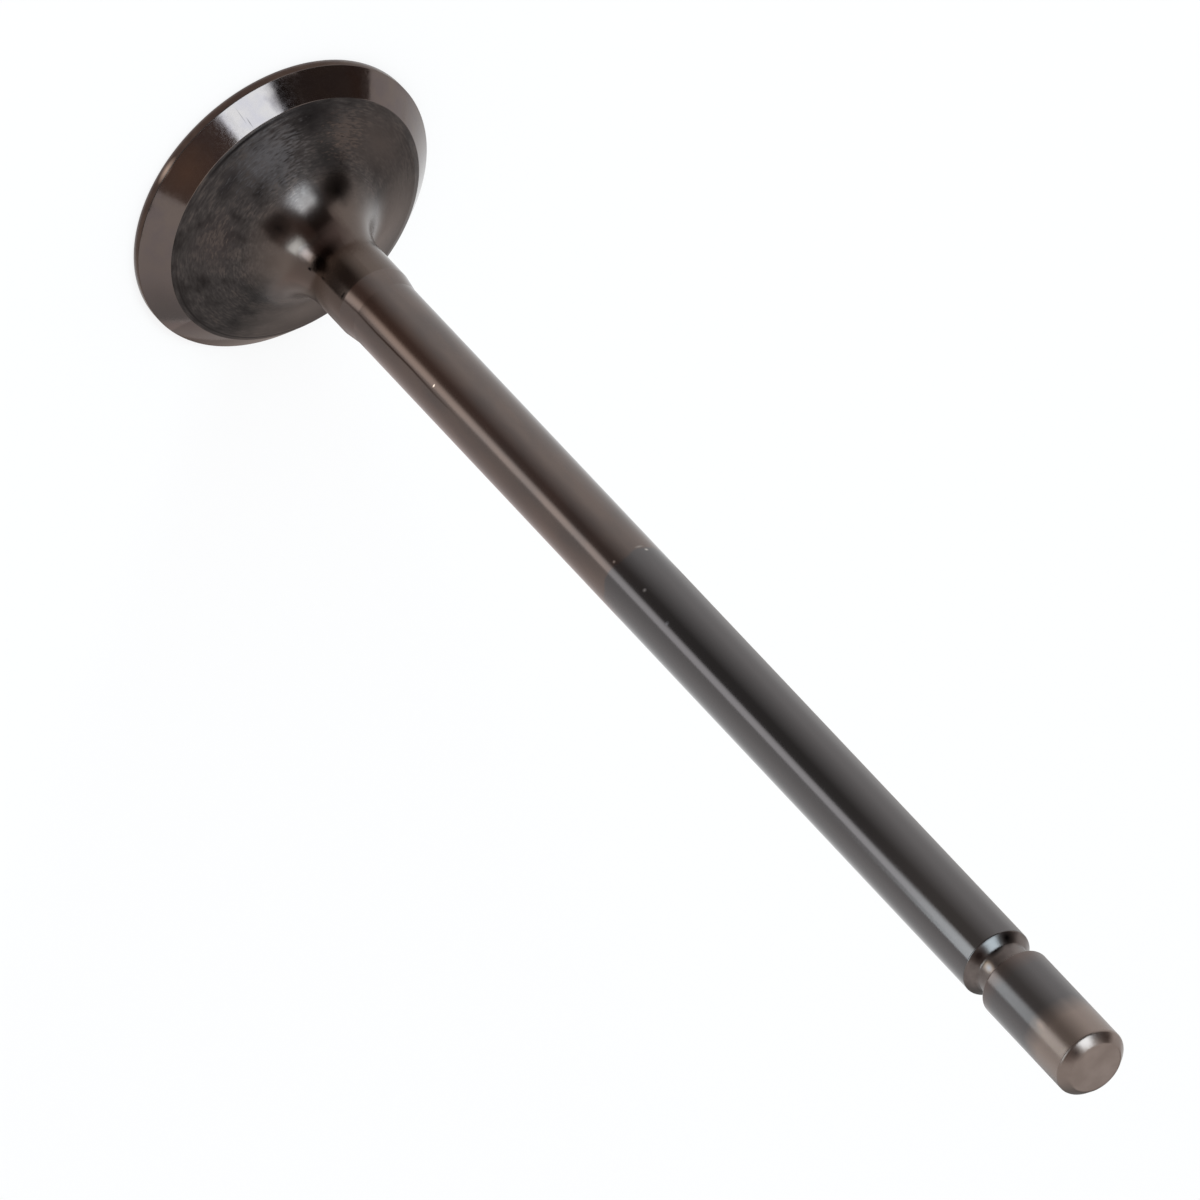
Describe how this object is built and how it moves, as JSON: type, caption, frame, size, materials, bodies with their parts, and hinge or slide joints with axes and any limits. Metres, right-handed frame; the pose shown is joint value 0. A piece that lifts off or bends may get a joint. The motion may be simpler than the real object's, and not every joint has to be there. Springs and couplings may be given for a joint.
{
  "type": "engine valve",
  "caption": "Poppet valve of an engine: tulip head with a ground conical seat, long slender stem, and a rounded keeper groove near its chamfered tip.",
  "frame": {"origin": "centre of the combustion face, on the valve's axis", "axes": "+Z runs along the stem from the head to the tip; the part is round, so +X and +Y are any two directions across it"},
  "size_m": [0.0312, 0.0312, 0.1398],
  "materials": {
    "valve_steel": "ground and heat-darkened valve steel, dark brown to charcoal"
  },
  "bodies": {
    "root": {"valve": "valve_steel"}
  },
  "joints": []
}
